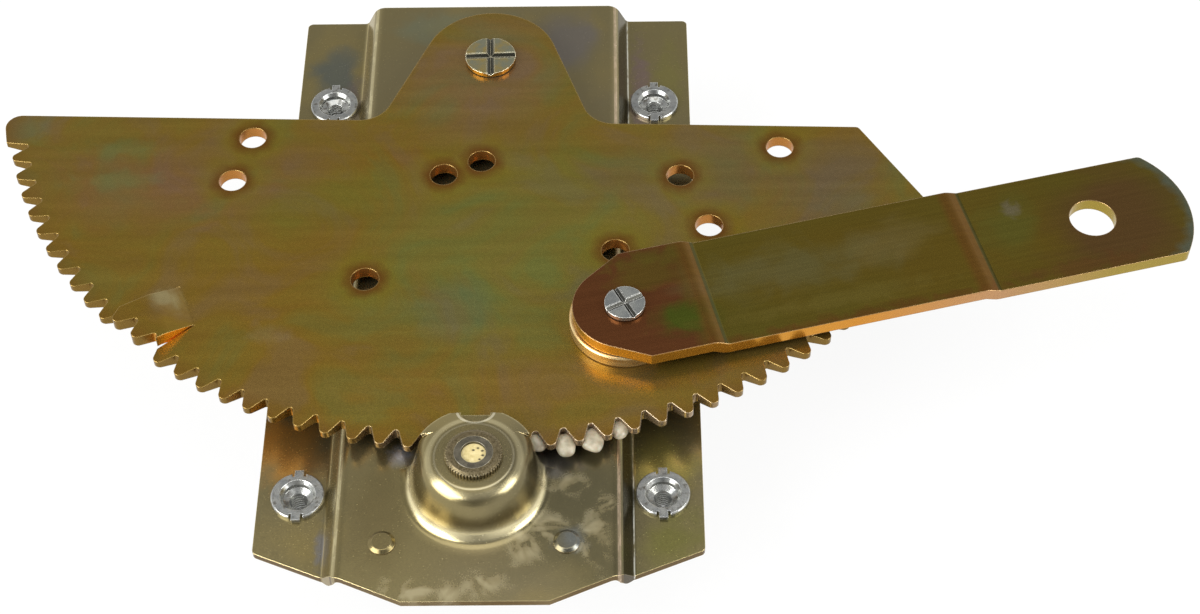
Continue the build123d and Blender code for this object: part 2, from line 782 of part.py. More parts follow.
def crank_spindle():
    """The spindle that the crank handle turns, splined at the rear, with its long core."""
    rear_low, rear_top = drum_levels()[:2]
    shank_top = drum_floor - rear_bush_proud - face_gap
    neck_top = shank_top - shank_length
    spline_top = neck_top - spindle_neck
    rear = spline_top - spline_length
    core_top = dome_top + bush_proud - core_recess
    spindle = turned([
        (0, rear), (shank_radius - 1, rear), (shank_radius, rear + 1),
        (shank_radius, spline_top), (spindle_neck_radius, spline_top),
        (spindle_neck_radius, neck_top), (shank_radius, neck_top),
        (shank_radius, shank_top), (spindle_radius, shank_top), (spindle_radius, rear_low),
        (driver_seat_radius, rear_low), (driver_seat_radius, rear_top),
        (core_radius, rear_top), (core_radius, core_top), (0, core_top),
    ])
    half = pi * shank_radius / spline_count * 0.8
    groove = make_face(Polyline(
        (shank_radius - spline_depth, 0), (shank_radius + 0.2, -half),
        (shank_radius + 0.2, half), close=True))
    cutter = Pos(0, 0, rear - 1) * extrude(groove, amount=spline_length + 1)
    spindle -= [Rot(0, 0, 360 / spline_count * k) * cutter for k in range(spline_count)]
    return spindle_place * spindle


def spindle_driver():
    """The disc on the crank spindle, whose lug turns the spring and the pinion's driver."""
    rear_low, rear_top, front_low, front_top = drum_levels()
    driver = ring(driver_seat_radius, driver_radius, rear_low, rear_top)
    driver += arc_lug(rear_top, front_low - face_gap, 270.0, lug_half_angle)
    return spindle_place * driver


def all_pieces():
    pieces = {"base_plate": base_plate()}
    for row, y in (("upper", nut_spacing_y / 2), ("lower", -nut_spacing_y / 2)):
        for side, x in (("left", -nut_spacing_x / 2), ("right", nut_spacing_x / 2)):
            pieces[f"mount_nut_{row}_{side}"] = Pos(x, y, 0) * mount_nut()
    pieces["sector_pivot_stud"] = sector_pivot_stud()
    pieces["sector_pivot_spacer"] = sector_pivot_spacer()
    pieces["sector_gear"] = sector_gear()
    pieces["arm_spacer"] = arm_spacer()
    pieces["arm_stud"] = arm_stud()
    pieces["lift_arm"] = lift_arm()
    pieces["dome_bush"] = dome_bush()
    pieces["pinion_gear"] = pinion_gear()
    pieces["pinion_driver"] = pinion_driver()
    pieces["brake_drum"] = brake_drum()
    for name, angle in rivet_places().items():
        pieces[f"drum_rivet_{name}"] = drum_rivet(angle)
    pieces["brake_spring"] = brake_spring()
    pieces["rear_bush"] = rear_bush()
    pieces["crank_spindle"] = crank_spindle()
    pieces["spindle_driver"] = spindle_driver()
    return pieces


os.makedirs("parts", exist_ok=True)
for name, piece in all_pieces().items():
    export_step(piece, f"parts/{name}.step")
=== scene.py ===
import math

import bmesh
import bpy
from mathutils import Euler, Matrix, Vector


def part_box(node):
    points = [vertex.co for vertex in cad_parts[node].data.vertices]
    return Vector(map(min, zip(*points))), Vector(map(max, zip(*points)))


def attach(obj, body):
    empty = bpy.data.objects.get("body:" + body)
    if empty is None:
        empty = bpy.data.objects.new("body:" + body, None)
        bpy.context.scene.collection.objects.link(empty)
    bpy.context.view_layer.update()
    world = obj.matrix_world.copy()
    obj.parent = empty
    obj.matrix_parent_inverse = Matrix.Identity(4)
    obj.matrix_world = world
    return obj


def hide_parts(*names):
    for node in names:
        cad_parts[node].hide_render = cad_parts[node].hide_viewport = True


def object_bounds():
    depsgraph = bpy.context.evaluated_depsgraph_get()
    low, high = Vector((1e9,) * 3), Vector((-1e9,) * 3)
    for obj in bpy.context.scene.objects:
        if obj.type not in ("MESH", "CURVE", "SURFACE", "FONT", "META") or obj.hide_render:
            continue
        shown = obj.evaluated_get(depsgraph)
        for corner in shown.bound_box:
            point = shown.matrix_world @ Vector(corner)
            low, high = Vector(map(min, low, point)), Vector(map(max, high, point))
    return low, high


# Window regulator for a car door, on a white studio floor.
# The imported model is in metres; sizes here are in millimetres and turned to metres by mm().
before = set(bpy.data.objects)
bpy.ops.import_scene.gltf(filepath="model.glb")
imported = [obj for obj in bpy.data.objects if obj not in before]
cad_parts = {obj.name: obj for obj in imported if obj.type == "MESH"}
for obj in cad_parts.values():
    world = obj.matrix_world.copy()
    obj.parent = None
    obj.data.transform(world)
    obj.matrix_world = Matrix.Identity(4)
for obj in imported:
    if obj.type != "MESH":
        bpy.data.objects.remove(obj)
cad_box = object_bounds()


# Camera
# A short telephoto lens that looks down on the front of the regulator at about 51 degrees.

camera_place = (36.877, -423.988, 521.984)
camera_tilt = 38.694
camera_roll = 0.600
camera_turn = -0.122
lens_length = 69.78
sensor_width = 36.0
nearest_seen = 10.0
farthest_seen = 20000.0


def mm(value):
    """Millimetres as metres, for a number or for a point."""
    if isinstance(value, (tuple, list)):
        return Vector([part / 1000 for part in value])
    return value / 1000


lens = bpy.data.cameras.new("photo_lens")
lens.lens = lens_length
lens.sensor_width = sensor_width
lens.sensor_fit = "HORIZONTAL"
lens.clip_start = mm(nearest_seen)
lens.clip_end = mm(farthest_seen)
camera = bpy.data.objects.new("photo_camera", lens)
camera.location = mm(camera_place)
camera.rotation_euler = Euler([math.radians(a) for a in (camera_tilt, camera_roll, camera_turn)])
bpy.context.scene.collection.objects.link(camera)
bpy.context.scene.camera = camera
bpy.context.scene.view_settings.view_transform = "Standard"


# Studio
# White floor just under the spindle's end and three large soft lamps. Polished faces meet
# white near the floor and a grey ceiling above, which gives flat plated faces their olive
# tone; a dark flag in front makes the dark band between the dome's two highlights.

floor_gap = 0.6
floor_reach = 6000.0
floor_white = "#f4f4f2"
floor_fibre = "#f1f1ef"
fibre_size = 3.0
floor_glow = 0.90
ceiling_grey = 0.37
flag_dark = 0.18
ambient_level = 0.50
# Heights and sides of the surround are parts of the unit sphere round the object.
ceiling_start = 0.20
ceiling_end = 0.72
flag_half = 0.05
flag_fade = 0.60
flag_front = (-0.2, -0.5)
lamp_aim = (0, -50, 0)
# Name, place, aim, size in millimetres and power in watts.
softboxes = [
    ("left_softbox", (-900, -500, 800), lamp_aim, 1000, 22.0),
    ("right_softbox", (900, -300, 700), lamp_aim, 600, 8.0),
    ("top_softbox", (0, 100, 1300), (0, 0, 0), 900, 5.0),
]


def linear(hex_colour):
    """An sRGB hex colour as the linear colour that the shader takes."""
    parts = [int(hex_colour[i:i + 2], 16) / 255 for i in (1, 3, 5)]
    parts = [p / 12.92 if p <= 0.04045 else ((p + 0.055) / 1.055) ** 2.4 for p in parts]
    return (*parts, 1.0)


def add(tree, kind, inputs=None, stops=None, **settings):
    """Adds a node with its settings and inputs; an input that is a socket is linked."""
    made = tree.nodes.new("ShaderNode" + kind)
    for name, value in settings.items():
        setattr(made, name, value)
    if stops:
        ramp = made.color_ramp
        while len(ramp.elements) < len(stops):
            ramp.elements.new(0.5)
        for element, (place, colour) in zip(ramp.elements, stops):
            element.position = place
            element.color = linear(colour)
    for name, value in (inputs or {}).items():
        socket = made.inputs[name]
        if isinstance(value, bpy.types.NodeSocket):
            tree.links.new(value, socket)
        else:
            socket.default_value = value
    return made


def number(tree, operation, *values):
    """The result of one sum."""
    return add(tree, "Math", dict(enumerate(values)), operation=operation).outputs[0]


def graded(tree, value, start, end, low=0.0, high=1.0, ease="LINEAR"):
    """Goes from low to high while a value goes from start to end, and stays there."""
    made = add(tree, "MapRange", {
        "Value": value, "From Min": start, "From Max": end, "To Min": low, "To Max": high},
        interpolation_type=ease)
    return made.outputs["Result"]


def noise(tree, place, size, detail=2.0, roughness=0.5, distortion=0.0):
    """Noise whose features are about this many millimetres wide."""
    made = add(tree, "TexNoise", {
        "Vector": place, "Scale": 1 / mm(size), "Detail": detail, "Roughness": roughness,
        "Distortion": distortion})
    return made.outputs["Fac"]


def blank_material(name):
    """A new material with an empty node tree."""
    made = bpy.data.materials.new(name)
    made.use_nodes = True
    made.node_tree.nodes.clear()
    return made


def studio_floor():
    """Matt white paper; the eye and polished faces see it nearly white, with its shadow."""
    made = blank_material("matt_white_studio_paper")
    tree = made.node_tree
    coords = add(tree, "TexCoord")
    fibres = noise(tree, coords.outputs["Object"], fibre_size)
    tint = add(tree, "ValToRGB", {"Fac": fibres}, [(0.3, floor_fibre), (0.7, floor_white)])
    paper = add(tree, "BsdfDiffuse", {"Color": tint.outputs["Color"], "Roughness": 1.0})
    glow = add(tree, "Emission", {"Color": linear("#ffffff"), "Strength": 1.0})
    path = add(tree, "LightPath")
    seen = number(tree, "MAXIMUM", path.outputs["Is Camera Ray"], path.outputs["Is Glossy Ray"])
    seen = number(tree, "MAXIMUM", seen, path.outputs["Is Transmission Ray"])
    share = number(tree, "MULTIPLY", seen, floor_glow)
    both = add(tree, "MixShader", {0: share, 1: paper.outputs[0], 2: glow.outputs[0]})
    add(tree, "OutputMaterial", {"Surface": both.outputs[0]})
    return made


def studio_surround():
    """White for the eye; for reflections it darkens from the horizon upwards."""
    world = bpy.data.worlds.new("studio_surround")
    bpy.context.scene.world = world
    world.use_nodes = True
    tree = world.node_tree
    tree.nodes.clear()
    coords = add(tree, "TexCoord")
    towards = add(tree, "SeparateXYZ", {"Vector": coords.outputs["Generated"]})
    height = graded(tree, towards.outputs["Z"], ceiling_start, ceiling_end, 1.0, ceiling_grey)
    aside = number(tree, "ABSOLUTE", towards.outputs["X"])
    flag = graded(tree, aside, flag_half, flag_half + flag_fade, flag_dark, 1.0)
    front = graded(tree, towards.outputs["Y"], *flag_front)
    flagged = add(tree, "Mix", {0: front, 2: 1.0, 3: flag})
    level = number(tree, "MULTIPLY", height, flagged.outputs[0])
    shown = add(tree, "Background", {"Color": linear("#ffffff"), "Strength": 1.0})
    mirrored = add(tree, "Background", {"Color": linear("#ffffff"), "Strength": level})
    ambient = add(tree, "Background", {"Color": linear("#ffffff"), "Strength": ambient_level})
    path = add(tree, "LightPath")
    gloss = number(tree, "MAXIMUM", path.outputs["Is Glossy Ray"], path.outputs["Is Transmission Ray"])
    lit = add(tree, "MixShader", {0: gloss, 1: ambient.outputs[0], 2: mirrored.outputs[0]})
    seen = add(tree, "MixShader", {
        0: path.outputs["Is Camera Ray"], 1: lit.outputs[0], 2: shown.outputs[0]})
    add(tree, "OutputWorld", {"Surface": seen.outputs[0]})


def soft_lamp(name, place, aim, size, power):
    """A square area lamp that points at a place on the object."""
    light = bpy.data.lights.new(name, "AREA")
    light.size = mm(size)
    light.energy = power
    lamp = bpy.data.objects.new(name, light)
    lamp.location = mm(place)
    lamp.rotation_euler = (mm(aim) - mm(place)).to_track_quat("-Z", "Y").to_euler()
    bpy.context.scene.collection.objects.link(lamp)


def placed(name, shape):
    """A new object in the scene from a mesh that was made in code."""
    data = bpy.data.meshes.new(name)
    shape.to_mesh(data)
    shape.free()
    made = bpy.data.objects.new(name, data)
    bpy.context.scene.collection.objects.link(made)
    return made


paper_sheet = bmesh.new()
bmesh.ops.create_grid(paper_sheet, x_segments=2, y_segments=2, size=mm(floor_reach))
floor = placed("studio_floor", paper_sheet)
floor.location = (0, 0, cad_box[0].z - mm(floor_gap))
floor.data.materials.append(studio_floor())
studio_surround()
for softbox in softboxes:
    soft_lamp(*softbox)


# Base plate
# Pressed from 2 mm steel sheet, bent into two flanges beside a raised middle, with the
# dome drawn out of it; zinc plated and passivated a thin, greyish yellow.

# The chromate film over the zinc scatters a little light of its own.
film_gloss = 0.25
# How much a face looks up, and how well its rounded normal matches it, where the masks of
# sheared sides and of corners start and where they are full.
side_facing = (0.35, 0.15)
corner_match = (0.995, 0.80)
corner_samples = 6
gloss_spread = (-0.04, 0.05)
grain_height = 0.05
grease_dulling = 0.2
plate_edge_width = 0.3
# Places on the plate, their half width and half height, their tint and its strength.
plate_clouds = [
    ((-50, 86), (10, 15), "#666d68", 0.80), ((-44, 72), (4, 16), "#7b6c6c", 0.50),
    ((22, 92), (14, 14), "#78757c", 0.55), ((-14, 100), (24, 8), "#7f8a74", 0.45),
    ((45, 78), (4, 22), "#8a707c", 0.50), ((54, 84), (6, 22), "#8c8748", 0.45),
    # The gold cloud at (-52, -56) is a painted reflection of the sector's gold underside in the lower left
    # flange.
    ((-52, -56), (13, 17), "#c69246", 0.80), ((26, -84), (30, 32), "#676148", 0.85),
    ((-41, -90), (3, 9), "#7c8296", 0.50), ((50, -86), (11, 18), "#7b7a3c", 0.65),
    # The bluish white cloud at (-21.6, -63.5) is a painted highlight on the dome's foot.
    ((49, -60), (12, 16), "#a89c50", 0.70), ((-21.6, -63.5), (4, 5), "#aab1c2", 0.70),
    ((20, -66), (8, 7), "#747478", 0.55), ((-27, -86), (13, 22), "#786b48", 0.60),
    ((24.5, -91), (5, 5), "#7c8489", 0.55),
]
smear_places = [
    ((-15, -106), (14, 4)), ((4, -104), (9, 5)), ((12, -95), (6, 7)), ((20, -86), (8, 6)),
    ((31, -92), (5, 10)), ((33, -81), (4, 5)), ((24, -73), (8, 5)),
]
smear_pale = "#b5aa88"
smear_dark = "#8c7f5c"
smear_streak = 15.0
smear_strength = 0.62
# Painted light and shade on the long bends: where each mark lies across the plate, half
# its width, its tint, its strength, and how unbroken it is.
painted_fold_marks = [
    (37.3, 0.45, "#d9c0a6", 0.55, 0.6), (39.7, 1.4, "#35311f", 0.70, 1.0), (41.2, 0.20, "#e4e4da", 0.60, 0.0),
    (-37.3, 0.5, "#d8cda4", 0.50, 0.6), (-39.7, 1.4, "#b5a678", 0.50, 1.0),
]
# The rim of the half-round dent in the dome's lip carries a thin painted highlight.
dent_place = (-0.7, -57.6)
dent_radius = 5.0
dent_line = 0.35
dent_floor = 18.0
dome_place = (-0.7, -73.45)
# The crease round the dome's crown carries a thin painted highlight.
crown_radius = 10.5
crease_width = 0.25
crease_strength = 0.18
painted_highlight_pale = "#f3ebcf"
# Painted highlights on the dome, on its shoulder and at its foot, where a lamp would
# catch it: radius, half width and strength.
painted_highlight_rings = [(12.2, 1.3, 0.25), (17.6, 1.5, 0.70)]
painted_ring_pale = "#fff2c2"
crown_level = 22.4
crown_kept = 7.6
crown_ease = 2.0
dome_skirt = 25.5
dome_fade = (8.0, 0.0)
# How far the drawn metal lies from the plain bends of the CAD, outwards, at each height.
draw_shift = [
    (8.99, -2.4), (10.0, -1.9), (12.0, -1.5), (15.0, -1.6), (19.0, -2.2), (21.6, -1.8), (22.41, -0.6),
]
lip_start = 12.0
lip_root = 11.0
lip_fall = 0.295
weld_gap = 0.001
crisp_angle = 35.0


def vector(tree, operation, *values):
    """The result of one vector sum: a vector, or a number for lengths and products."""
    made = add(tree, "VectorMath", dict(enumerate(values)), operation=operation)
    plain = operation in ("LENGTH", "DISTANCE", "DOT_PRODUCT")
    return made.outputs["Value" if plain else "Vector"]


def from_axis(tree, place, axis):
    """How far a place is from an upright axis."""
    centred = vector(tree, "SUBTRACT", place, mm((*axis, 0)))
    return vector(tree, "LENGTH", vector(tree, "MULTIPLY", centred, (1, 1, 0)))


def laid(tree, colour, mask, tint, strength=1.0):
    """A tint laid over a colour where a mask is full, at a strength."""
    share = number(tree, "MULTIPLY", mask, strength)
    over = linear(tint) if isinstance(tint, str) else tint
    return add(tree, "MixRGB", {"Fac": share, "Color1": colour, "Color2": over}).outputs[0]


def surface_masks(tree, edge_width):
    """The place on the surface, how much a face looks sideways (sheared edges and bores),
    how near it is to a corner, where the materials paint a highlight, and a normal that
    rounds the corners."""
    coords = add(tree, "TexCoord")
    facing = add(tree, "SeparateXYZ", {"Vector": coords.outputs["Normal"]})
    sideways = graded(tree, number(tree, "ABSOLUTE", facing.outputs["Z"]), *side_facing)
    rounded = add(tree, "Bevel", {"Radius": mm(edge_width)}, samples=corner_samples).outputs[0]
    geometry = add(tree, "NewGeometry")
    match = vector(tree, "DOT_PRODUCT", rounded, geometry.outputs["True Normal"])
    return coords.outputs["Object"], sideways, graded(tree, match, *corner_match), rounded


def patches(tree, place, size, low, high, stretch=(1, 1, 1), detail=3.0, seed=0.0):
    """A soft-edged mask of irregular patches of a given size in millimetres."""
    shifted = add(tree, "Mapping", {
        "Vector": place, "Scale": stretch, "Location": (seed, seed * 0.7, seed * 0.3)})
    return graded(tree, noise(tree, shifted.outputs[0], size, detail, roughness=0.55), low, high)


def cloud(tree, place, middle, reach, ragged=0.5):
    """A soft-edged cloud: its middle and its half width and half height in millimetres."""
    scaled = vector(tree, "DIVIDE", vector(tree, "SUBTRACT", place, mm((*middle, 0))), mm((*reach, 1000)))
    wander = noise(tree, place, 1.2 * min(reach), detail=4.0, distortion=0.6)
    broken = number(tree, "MULTIPLY_ADD", wander, 2 * ragged, vector(tree, "LENGTH", scaled))
    return graded(tree, broken, 1.1 + ragged, 0.2 + ragged, ease="SMOOTHSTEP")


def tinted(tree, colour, place, clouds):
    """A colour with ragged clouds of other tints laid over it."""
    for middle, reach, tint, strength in clouds:
        colour = laid(tree, colour, cloud(tree, place, middle, reach, ragged=0.9), tint, strength)
    return colour


def plated_steel(tree, colour, place, rounded, roughness, grain, grain_size=0.45, metallic=0.85,
                 dulled=None):
    """Zinc plated steel under a given colour, with a fine pitted grain in gloss and relief;
    a mask can dull it."""
    speckle = noise(tree, place, grain_size)
    low, high = [roughness + part for part in gloss_spread]
    sheen = graded(tree, speckle, 0.25, 0.75, low, high)
    if dulled is not None:
        sheen = number(tree, "MULTIPLY_ADD", dulled, grease_dulling, sheen)
    bump = add(tree, "Bump", {
        "Height": speckle, "Strength": grain, "Distance": mm(grain_height), "Normal": rounded})
    shader = add(tree, "BsdfPrincipled", {
        "Base Color": colour, "Metallic": metallic, "Roughness": sheen,
        "Specular IOR Level": film_gloss, "Normal": bump.outputs["Normal"]})
    add(tree, "OutputMaterial", {"Surface": shader.outputs[0]})


def grease_smears(tree, place):
    """Where grease has been wiped over the sheet, and its streaked colour."""
    widest = 0.0
    for middle, reach in smear_places:
        widest = number(tree, "MAXIMUM", widest, cloud(tree, place, middle, reach, ragged=1.0))
    streaks = noise(tree, place, smear_streak, detail=6.0, distortion=2.6)
    wiped = graded(tree, streaks, 0.40, 0.50, 0.0, smear_strength)
    tint = add(tree, "ValToRGB", {"Fac": streaks}, [(0.44, smear_dark), (0.60, smear_pale)])
    return number(tree, "MULTIPLY", widest, wiped), tint.outputs["Color"]


def painted_fold_light(tree, place, colour):
    """Painted light along the two long bends: a painted highlight on their outer fold, broken
    and whiter at their inner fold, painted shade on the wall between them on the side away
    from the lamp and paler paint on it on the lamp's side, and a painted highlight round
    the half-round dent in the dome."""
    split = add(tree, "SeparateXYZ", {"Vector": place})
    fold_breaks = patches(tree, place, 1.5, 0.35, 0.55, stretch=(1, 0.35, 1))
    # Painted highlights and shade along the bends, broken up by patches.
    for across, half, tint, strength, solid in painted_fold_marks:
        line = number(tree, "COMPARE", split.outputs["X"], mm(across), mm(half))
        broken = number(tree, "MAXIMUM", fold_breaks, solid)
        colour = laid(tree, colour, number(tree, "MULTIPLY", line, broken), tint, strength)
    # A painted highlight round the rim of the half-round dent.
    dent = number(tree, "COMPARE", from_axis(tree, place, dent_place), mm(dent_radius), mm(dent_line))
    high = number(tree, "GREATER_THAN", split.outputs["Z"], mm(dent_floor))
    return laid(tree, colour, number(tree, "MULTIPLY", dent, high), painted_highlight_pale, 0.5)


def painted_dome_highlights(tree, place, colour):
    """Painted highlights on the dome: a pale line on the crease round its crown and bright
    rings on its shoulder and at its foot.
    """
    away = from_axis(tree, place, dome_place)
    crease = number(tree, "COMPARE", away, mm(crown_radius), mm(crease_width))
    # Painted highlight rings on the dome's shoulder and foot.
    for radius, half, strength in painted_highlight_rings:
        off = number(tree, "ABSOLUTE", number(tree, "SUBTRACT", away, mm(radius)))
        ring = graded(tree, off, mm(half), mm(half / 4), ease="SMOOTHSTEP")
        colour = laid(tree, colour, ring, painted_ring_pale, strength)
    # A painted highlight along the crown's crease.
    return laid(tree, colour, crease, painted_highlight_pale, crease_strength)


def thin_yellow_zinc(name, drawn=False):
    """Thin yellow passivated zinc on sheet: greyish olive, with bluish and straw clouds, and a
    painted pale gold highlight along bent and sheared corners. On the drawn plate it also has
    painted light and shade along its folds, painted highlights on its dome and wiped grease."""
    made = blank_material(name)
    tree = made.node_tree
    place, sideways, edge, rounded = surface_masks(tree, plate_edge_width)
    broad = patches(tree, place, 60, 0.35, 0.65, detail=2.0)
    colour = laid(tree, linear("#8a7e56"), broad, "#877c5c")
    colour = laid(tree, colour, patches(tree, place, 34, 0.54, 0.70, seed=0.77), "#9f8d56", 0.5)
    colour = tinted(tree, colour, place, plate_clouds)
    colour = laid(tree, colour, sideways, "#66512a")
    # A painted pale gold highlight along bent and sheared corners.
    colour = laid(tree, colour, edge, "#ecdaa8")
    dulled = None
    if drawn:
        colour = painted_dome_highlights(tree, place, colour)
        colour = painted_fold_light(tree, place, colour)
        dulled, grease_tint = grease_smears(tree, place)
        colour = laid(tree, colour, dulled, grease_tint)
    plated_steel(tree, colour, place, rounded, roughness=0.23, grain=0.04, metallic=0.88, dulled=dulled)
    return made


def between(stops, place):
    """The value at a place on a line through stops, and nothing beyond its ends."""
    for (low, start), (high, end) in zip(stops, stops[1:]):
        if low <= place <= high:
            return start + (end - start) * (place - low) / (high - low)
    return 0.0


def part_way(value, start, end):
    """How far a value is on its way from start to end, kept between 0 and 1."""
    return min(1.0, max(0.0, (value - start) / (end - start)))


def drawn_plate():
    """The base plate with its dome eased into the bell that a press draws, slimmer than
    bends alone give; its window side stays, with the lip's front edge dressed flush."""
    sheet = bmesh.new()
    sheet.from_mesh(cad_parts["base_plate"].data)
    bmesh.ops.remove_doubles(sheet, verts=sheet.verts, dist=mm(weld_gap))
    axis = Vector((*mm(dome_place), 0))
    for vertex in sheet.verts:
        out = (vertex.co - axis) * Vector((1, 1, 0))
        if 0 < out.length < mm(dome_skirt):
            share = part_way(out.y, mm(dome_fade[0]), mm(dome_fade[1]))
            share *= part_way(out.length, mm(crown_kept), mm(crown_kept + crown_ease))
            vertex.co += out.normalized() * mm(between(draw_shift, vertex.co.z * 1000)) * share
            if out.y > mm(lip_start):
                flush = mm(crown_level) - lip_fall * (out.length - mm(lip_root))
                vertex.co.z = min(vertex.co.z, flush)
    for face in sheet.faces:
        face.smooth = True
    made = placed("drawn_base_plate", sheet)
    if "custom_normal" in made.data.attributes:
        made.data.attributes.remove(made.data.attributes["custom_normal"])
    made.data.set_sharp_from_angle(angle=math.radians(crisp_angle))
    return made


plate = drawn_plate()
plate.data.materials.clear()
plate.data.materials.append(thin_yellow_zinc("thin_yellow_passivated_zinc", drawn=True))
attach(plate, "base")
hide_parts("base_plate")


# Mounting nuts
# Four round clinch nuts of turned steel, bright zinc plated, pressed into the flanges.
# The thread is cut M6; its crests show in the open mouths.

thread_radius = 2.5
thread_depth = 0.32
thread_pitch = 1.0
thread_crest = 0.06
thread_turns = 7
thread_steps = 40
thread_start = -0.2
barrel_wall = 1.1


def finish(material, *nodes):
    """Gives a CAD node's slots one material."""
    for name in nodes:
        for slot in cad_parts[name].material_slots:
            slot.material = material


def bright_zinc():
    """Bright clear zinc: silvery with a faint blue, mirror-like, with a little grime."""
    made = blank_material("bright_clear_zinc")
    tree = made.node_tree
    place, sideways, edge, rounded = surface_masks(tree, 0.25)
    colour = laid(tree, linear("#9b9d9b"), patches(tree, place, 3, 0.35, 0.65), "#b4b4ae")
    colour = laid(tree, colour, patches(tree, place, 1.6, 0.55, 0.70, seed=0.4), "#77736a")
    # A painted highlight along the nut's corners.
    colour = laid(tree, colour, edge, "#f2f3f1")
    plated_steel(tree, colour, place, rounded, roughness=0.20, grain=0.10, grain_size=0.3)
    return made


def threaded_bore(name, centre):
    """The nut's thread, wound down inside its bore and on through the barrel behind it."""
    inner = thread_radius - thread_depth
    outer = thread_radius + barrel_wall
    half = thread_pitch / 2
    profile = [
        (thread_radius, half), (inner, thread_crest), (inner, -thread_crest),
        (thread_radius, -half), (outer, -half), (outer, half),
    ]
    ridge = bmesh.new()
    rings = []
    for step in range(thread_turns * thread_steps + 1):
        turn = 2 * math.pi * step / thread_steps
        level = thread_start - thread_pitch * step / thread_steps
        ring = []
        for radius, rise in profile:
            x = centre[0] + radius * math.cos(turn)
            y = centre[1] + radius * math.sin(turn)
            ring.append(ridge.verts.new(mm((x, y, level + rise))))
        rings.append(ring)
    for before, after in zip(rings, rings[1:]):
        for k in range(len(profile) - 1):
            ridge.faces.new((before[k], before[k + 1], after[k + 1], after[k]))
    return placed(name, ridge)


nut_zinc = bright_zinc()
nut_names = [f"mount_nut_{row}_{side}" for row in ("upper", "lower") for side in ("left", "right")]
finish(nut_zinc, *nut_names)
for nut_name in nut_names:
    low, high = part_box(nut_name)
    middle = (low + high) / 2 * 1000
    thread = threaded_bore(f"{nut_name}_thread", (middle.x, middle.y))
    thread.data.materials.append(nut_zinc)
    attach(thread, "base")


# Fixed pivot
# A shouldered steel stud whose head was struck with a cross, and the spacer under the
# sector; both zinc plated and passivated yellow.

sector_pivot = (-0.7, 78.8)
# Radii and heights of the turned stud, from its formed tail up to the head's rim.
pivot_profile = [
    (5.6, 5.2), (6.6, 6.2), (6.6, 7.0), (4.0, 7.0), (4.0, 9.0), (5.0, 9.0), (5.0, 15.8), (7.65, 15.8),
    (7.65, 17.3),
]
pivot_cross_turn = 2.0
pivot_groove_half = 1.15
pivot_groove_depth = 0.85
groove_facing = (0.93, 0.85)
pad_steps = 8
struck_lip = 0.16


def struck_head(name, under, over, side, groove, lip):
    """Zinc on a stud whose head was struck: painted shade on the sloping faces of its grooves
    and a painted highlight on their lips."""
    made = blank_material(name)
    tree = made.node_tree
    place, sideways, edge, rounded = surface_masks(tree, 0.28)
    colour = laid(tree, linear(under), patches(tree, place, 4, 0.4, 0.6), over)
    coords = add(tree, "TexCoord")
    facing = add(tree, "SeparateXYZ", {"Vector": coords.outputs["Normal"]})
    # Painted shade on the grooves' sloping faces.
    colour = laid(tree, colour, graded(tree, facing.outputs["Z"], *groove_facing), groove)
    colour = laid(tree, colour, sideways, side)
    # A painted highlight on the grooves' lips and the other corners.
    colour = laid(tree, colour, edge, lip)
    plated_steel(tree, colour, place, rounded, roughness=0.22, grain=0.16, grain_size=0.4)
    return made


def struck_stud(name, centre, turn, profile, groove_half, groove_depth):
    """A turned stud, from its profile of radii and heights up to the head's rim, with a
    cross of two V grooves struck into the head."""
    steel = bmesh.new()
    head_radius, head_top = profile[-1]
    lip_angle = math.degrees(math.asin(groove_half / head_radius))
    pad = [lip_angle + (90 - 2 * lip_angle) * k / pad_steps for k in range(pad_steps + 1)]
    angles = [90 * quarter + a for quarter in range(4) for a in [0.0] + pad]
    quarter_length = pad_steps + 2

    def corner(radius, angle, height):
        """A vertex at a radius and an angle from the groove."""
        a = math.radians(angle + turn)
        x = centre[0] + radius * math.cos(a)
        y = centre[1] + radius * math.sin(a)
        return steel.verts.new(mm((x, y, height)))

    rings = []
    for radius, height in profile:
        ring = []
        for place, angle in enumerate(angles):
            struck = height == head_top and place % quarter_length == 0
            ring.append(corner(radius, angle, height - groove_depth if struck else height))
        rings.append(ring)
    for low, high in zip(rings, rings[1:]):
        for k in range(len(angles)):
            n = (k + 1) % len(angles)
            steel.faces.new((low[k], low[n], high[n], high[k]))
    steel.faces.new(rings[0][::-1])
    middle = corner(0, 0, head_top - groove_depth)
    lips = []
    top = rings[-1]
    for quarter in range(4):
        first = quarter * quarter_length
        knee = corner(groove_half * math.sqrt(2), 90 * quarter + 45, head_top)
        arc = top[first + 1:first + quarter_length]
        following = top[(first + quarter_length) % len(angles)]
        pad_face = steel.faces.new([knee, *arc])
        lips += list(pad_face.edges)
        steel.faces.new((middle, top[first], arc[0], knee))
        steel.faces.new((middle, knee, arc[-1], following))
    bmesh.ops.bevel(steel, geom=lips, offset=mm(struck_lip), segments=2, affect="EDGES")
    return placed(name, steel)


# The last two colours are the painted shade in the grooves and the painted highlight on their lips.
pivot_zinc = struck_head("yellow_zinc_struck_stud", "#a8945a", "#8f8f78", "#c9973c", "#45443a", "#f6edcc")
pivot_stud = struck_stud(
    "struck_pivot_stud", sector_pivot, pivot_cross_turn, pivot_profile, pivot_groove_half,
    pivot_groove_depth)
pivot_stud.data.materials.append(pivot_zinc)
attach(pivot_stud, "base")
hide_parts("sector_pivot_stud")
finish(pivot_zinc, "sector_pivot_spacer")


# Sector gear
# Blanked from 3.7 mm steel with its 45 teeth, nine holes and a lanced tab, then zinc
# plated and passivated yellow, which pools into brown halos round the holes.

sector_rest_turn = -1.75
